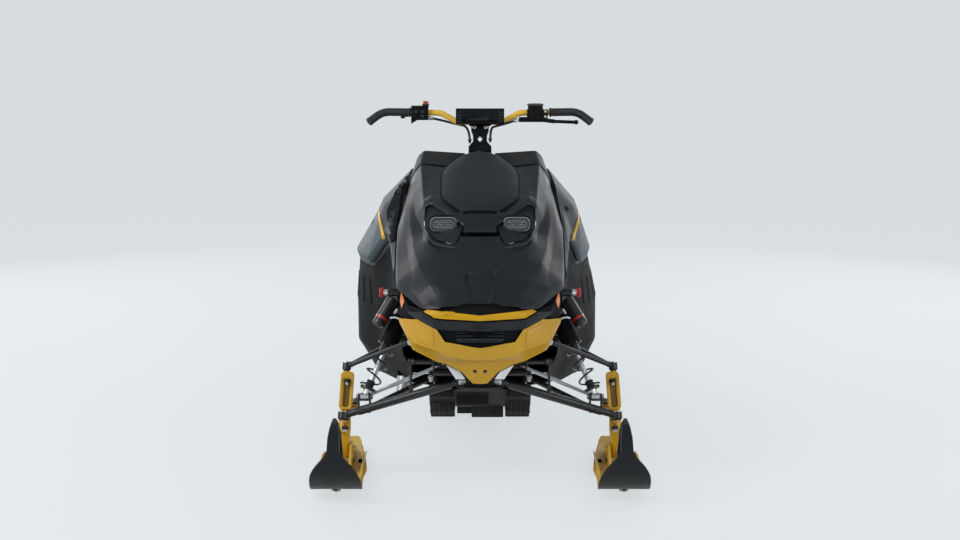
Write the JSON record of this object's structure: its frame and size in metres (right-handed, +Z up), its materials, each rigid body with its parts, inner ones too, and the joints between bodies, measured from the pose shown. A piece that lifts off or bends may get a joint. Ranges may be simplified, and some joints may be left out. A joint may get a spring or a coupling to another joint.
{
  "type": "snowmobile",
  "caption": "Angular crossover snowmobile: two steered skis on double wishbones with coil-over shocks, hollow body panels, saddle seat and a long lugged track on slide rails.",
  "frame": {"origin": "on the ground, centre of the whole machine's footprint", "axes": "the machine faces -Y, +Z is up, the rider's left is +X"},
  "size_m": [1.196, 3.202, 1.314],
  "materials": {
    "hood_blue": "gloss",
    "black_plastic": "textured matt",
    "panel_grey": "satin gloss",
    "yellow_plastic": "gloss",
    "yellow_metal": "gloss",
    "black_metal": "satin",
    "alu": "satin",
    "steel": "satin",
    "cast_grey": "cast",
    "lens": "clear",
    "amber": "reflective",
    "red": "gloss",
    "rubber": "matt",
    "seat_vinyl": "grained vinyl"
  },
  "bodies": {
    "chassis": {"hood": "hood_blue", "hood_cover": "black_plastic", "headlight_bezels": "black_plastic", "headlight_lenses": "lens", "nose_mask": "black_plastic", "nose_strip": "yellow_plastic", "side_reflectors": "amber", "front_bumper": "yellow_plastic", "side_panel_left": "panel_grey", "side_panel_right": "panel_grey", "toe_panel_left": "black_plastic", "toe_panel_right": "black_plastic", "belly_pan": "black_plastic", "front_frame": "alu", "engine": "cast_grey", "console": "black_plastic", "seat": "seat_vinyl", "tunnel": "black_metal", "running_board_left": "black_metal", "running_board_right": "black_metal", "rear_bumper": "black_metal", "tail_light": "red", "snow_flap": "rubber", "muffler_outlet": "steel", "sway_bar": "steel", "track": "rubber", "drive_axle": "black_plastic", "idler_wheels": "black_plastic", "slide_rails": "black_metal", "skid_arms": "black_metal", "skid_shocks": "steel", "lower_arm_left": "black_metal", "upper_arm_left": "black_metal", "shock_left": "steel", "spring_left": "black_metal", "lower_arm_right": "black_metal", "upper_arm_right": "black_metal", "shock_right": "steel", "spring_right": "black_metal"},
    "handlebar": {"steering_post": "black_metal", "riser": "black_metal", "handlebar": "yellow_metal", "grips": "rubber", "display": "black_plastic", "throttle_block": "black_plastic", "brake_cylinder": "black_plastic", "bar_cables": "rubber"},
    "ski_left": {"spindle_left": "yellow_metal", "ski_left": "yellow_plastic", "ski_nose_left": "black_plastic"},
    "tie_rod_left": {"tie_rod_left": "alu"},
    "ski_right": {"spindle_right": "yellow_metal", "ski_right": "yellow_plastic", "ski_nose_right": "black_plastic"},
    "tie_rod_right": {"tie_rod_right": "alu"}
  },
  "joints": [
    {"name": "handlebar_steer", "type": "hinge", "parent": "chassis", "child": "handlebar", "pos_m": [0, -0.4, 1.128], "axis": [0, 0.3714, 0.9285], "range_deg": [-38, 38]},
    {"name": "ski_left_steer", "type": "hinge", "parent": "chassis", "child": "ski_left", "pos_m": [0.5, -1.075, 0.223], "axis": [-0.0655, 0.3546, 0.9327], "range_deg": [-32.5, 32.5]},
    {"name": "tie_rod_left_end", "type": "hinge", "parent": "ski_left", "child": "tie_rod_left", "pos_m": [0.462, -0.965, 0.256], "axis": [-0.0655, 0.3546, 0.9327], "range_deg": [-32.5, 32.5]},
    {"name": "ski_right_steer", "type": "hinge", "parent": "chassis", "child": "ski_right", "pos_m": [-0.5, -1.075, 0.223], "axis": [0.0655, 0.3546, 0.9327], "range_deg": [-32.5, 32.5]},
    {"name": "tie_rod_right_end", "type": "hinge", "parent": "ski_right", "child": "tie_rod_right", "pos_m": [-0.462, -0.965, 0.256], "axis": [0.0655, 0.3546, 0.9327], "range_deg": [-32.5, 32.5]}
  ],
  "couplings": [
    {"joint": "ski_left_steer", "follows": "handlebar_steer", "ratio": 0.8421},
    {"joint": "tie_rod_left_end", "follows": "handlebar_steer", "ratio": -0.8421},
    {"joint": "ski_right_steer", "follows": "handlebar_steer", "ratio": 0.8421},
    {"joint": "tie_rod_right_end", "follows": "handlebar_steer", "ratio": -0.8421}
  ]
}
